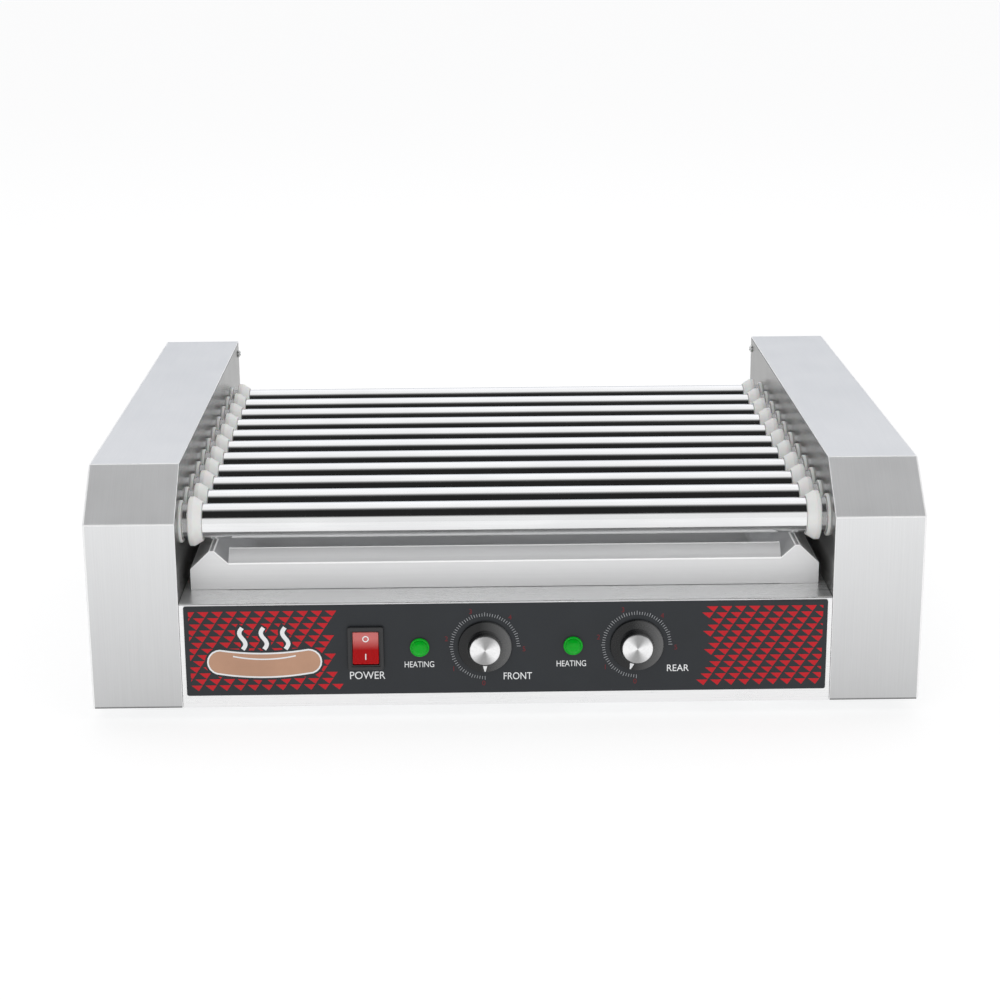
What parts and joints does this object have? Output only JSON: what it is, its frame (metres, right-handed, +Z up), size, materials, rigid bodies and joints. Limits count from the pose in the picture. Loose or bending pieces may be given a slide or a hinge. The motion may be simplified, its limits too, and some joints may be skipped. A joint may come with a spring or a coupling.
{
  "type": "hot dog roller grill",
  "caption": "Countertop roller grill: heated steel tubes turning between two sloped end housings above a pull-out drip tray, with a front control panel.",
  "frame": {"origin": "on the table under the middle of the machine, at the centre of its footprint", "axes": "+X along the rollers to the operator's right, -Y towards the operator and the control panel, +Z up"},
  "size_m": [0.585, 0.481, 0.178],
  "materials": {
    "brushed_steel": "brushed stainless sheet, grain running up the fronts and along the housings",
    "polished_steel": "polished stainless tube",
    "galvanised_steel": "dull zinc-coated sheet",
    "white_plastic": "satin fluoropolymer",
    "black_plastic": "fine satin moulding",
    "label_film": "printed satin film, charcoal with red triangles",
    "red_plastic": "glossy translucent red",
    "green_lens": "glossy green lens",
    "rubber": "matt black rubber",
    "chain_steel": "oiled chain steel",
    "heater_sheath": "heat-darkened sheath"
  },
  "bodies": {
    "frame": {"left_side_frame": "brushed_steel", "right_side_frame": "brushed_steel", "left_end_cover": "brushed_steel", "right_end_cover": "brushed_steel", "front_panel": "brushed_steel", "rear_panel": "brushed_steel", "base_plate": "galvanised_steel", "gear_motor": "galvanised_steel", "front_thermostat": "galvanised_steel", "rear_thermostat": "galvanised_steel", "control_label": "label_film", "front_left_foot": "rubber", "front_right_foot": "rubber", "rear_left_foot": "rubber", "rear_right_foot": "rubber", "left_bush_01": "white_plastic", "left_bush_02": "white_plastic", "left_bush_03": "white_plastic", "left_bush_04": "white_plastic", "left_bush_05": "white_plastic", "left_bush_06": "white_plastic", "left_bush_07": "white_plastic", "left_bush_08": "white_plastic", "left_bush_09": "white_plastic", "left_bush_10": "white_plastic", "left_bush_11": "white_plastic", "right_bush_01": "white_plastic", "right_bush_02": "white_plastic", "right_bush_03": "white_plastic", "right_bush_04": "white_plastic", "right_bush_05": "white_plastic", "right_bush_06": "white_plastic", "right_bush_07": "white_plastic", "right_bush_08": "white_plastic", "right_bush_09": "white_plastic", "right_bush_10": "white_plastic", "right_bush_11": "white_plastic", "front_heater_bank": "heater_sheath", "rear_heater_bank": "heater_sheath", "drive_chain": "chain_steel", "power_switch_body": "black_plastic", "cord_gland": "black_plastic", "front_heating_lamp": "green_lens", "rear_heating_lamp": "green_lens"},
    "drip_tray": {"drip_tray": "brushed_steel"},
    "motor_sprocket": {"motor_sprocket": "chain_steel"},
    "front_knob": {"front_knob": "black_plastic"},
    "rear_knob": {"rear_knob": "black_plastic"},
    "power_rocker": {"power_switch_rocker": "red_plastic"},
    "roller_01": {"roller_01": "polished_steel"},
    "roller_02": {"roller_02": "polished_steel"},
    "roller_03": {"roller_03": "polished_steel"},
    "roller_04": {"roller_04": "polished_steel"},
    "roller_05": {"roller_05": "polished_steel"},
    "roller_06": {"roller_06": "polished_steel"},
    "roller_07": {"roller_07": "polished_steel"},
    "roller_08": {"roller_08": "polished_steel"},
    "roller_09": {"roller_09": "polished_steel"},
    "roller_10": {"roller_10": "polished_steel"},
    "roller_11": {"roller_11": "polished_steel"}
  },
  "joints": [
    {"name": "roller_01_spin", "type": "hinge", "parent": "frame", "child": "roller_01", "pos_m": [0, -0.195, 0.137], "axis": [1, 0, 0], "continuous": true},
    {"name": "roller_02_spin", "type": "hinge", "parent": "frame", "child": "roller_02", "pos_m": [0, -0.1596, 0.137], "axis": [1, 0, 0], "continuous": true},
    {"name": "roller_03_spin", "type": "hinge", "parent": "frame", "child": "roller_03", "pos_m": [0, -0.1242, 0.137], "axis": [1, 0, 0], "continuous": true},
    {"name": "roller_04_spin", "type": "hinge", "parent": "frame", "child": "roller_04", "pos_m": [0, -0.0888, 0.137], "axis": [1, 0, 0], "continuous": true},
    {"name": "roller_05_spin", "type": "hinge", "parent": "frame", "child": "roller_05", "pos_m": [0, -0.0534, 0.137], "axis": [1, 0, 0], "continuous": true},
    {"name": "roller_06_spin", "type": "hinge", "parent": "frame", "child": "roller_06", "pos_m": [0, -0.018, 0.137], "axis": [1, 0, 0], "continuous": true},
    {"name": "roller_07_spin", "type": "hinge", "parent": "frame", "child": "roller_07", "pos_m": [0, 0.0174, 0.137], "axis": [1, 0, 0], "continuous": true},
    {"name": "roller_08_spin", "type": "hinge", "parent": "frame", "child": "roller_08", "pos_m": [0, 0.0528, 0.137], "axis": [1, 0, 0], "continuous": true},
    {"name": "roller_09_spin", "type": "hinge", "parent": "frame", "child": "roller_09", "pos_m": [0, 0.0882, 0.137], "axis": [1, 0, 0], "continuous": true},
    {"name": "roller_10_spin", "type": "hinge", "parent": "frame", "child": "roller_10", "pos_m": [0, 0.1236, 0.137], "axis": [1, 0, 0], "continuous": true},
    {"name": "roller_11_spin", "type": "hinge", "parent": "frame", "child": "roller_11", "pos_m": [0, 0.159, 0.137], "axis": [1, 0, 0], "continuous": true},
    {"name": "motor_sprocket_spin", "type": "hinge", "parent": "frame", "child": "motor_sprocket", "pos_m": [0, 0.06, 0.048], "axis": [1, 0, 0], "continuous": true},
    {"name": "drip_tray_slide", "type": "slide", "parent": "frame", "child": "drip_tray", "axis": [0, -1, 0], "range_m": [0, 0.36]},
    {"name": "front_knob_turn", "type": "hinge", "parent": "frame", "child": "front_knob", "pos_m": [-0.0152, -0.235, 0.0536], "axis": [0, 1, 0], "range_deg": [0, 270]},
    {"name": "rear_knob_turn", "type": "hinge", "parent": "frame", "child": "rear_knob", "pos_m": [0.0916, -0.235, 0.0536], "axis": [0, 1, 0], "range_deg": [-15, 255]},
    {"name": "power_rocker_tilt", "type": "hinge", "parent": "frame", "child": "power_rocker", "pos_m": [-0.0988, -0.2293, 0.0536], "axis": [1, 0, 0], "range_deg": [0, 20]}
  ],
  "couplings": [
    {"joint": "roller_02_spin", "follows": "roller_01_spin", "ratio": 1},
    {"joint": "roller_03_spin", "follows": "roller_01_spin", "ratio": 1},
    {"joint": "roller_04_spin", "follows": "roller_01_spin", "ratio": 1},
    {"joint": "roller_05_spin", "follows": "roller_01_spin", "ratio": 1},
    {"joint": "roller_06_spin", "follows": "roller_01_spin", "ratio": 1},
    {"joint": "roller_07_spin", "follows": "roller_01_spin", "ratio": 1},
    {"joint": "roller_08_spin", "follows": "roller_01_spin", "ratio": 1},
    {"joint": "roller_09_spin", "follows": "roller_01_spin", "ratio": 1},
    {"joint": "roller_10_spin", "follows": "roller_01_spin", "ratio": 1},
    {"joint": "roller_11_spin", "follows": "roller_01_spin", "ratio": 1},
    {"joint": "motor_sprocket_spin", "follows": "roller_01_spin", "ratio": 1}
  ]
}
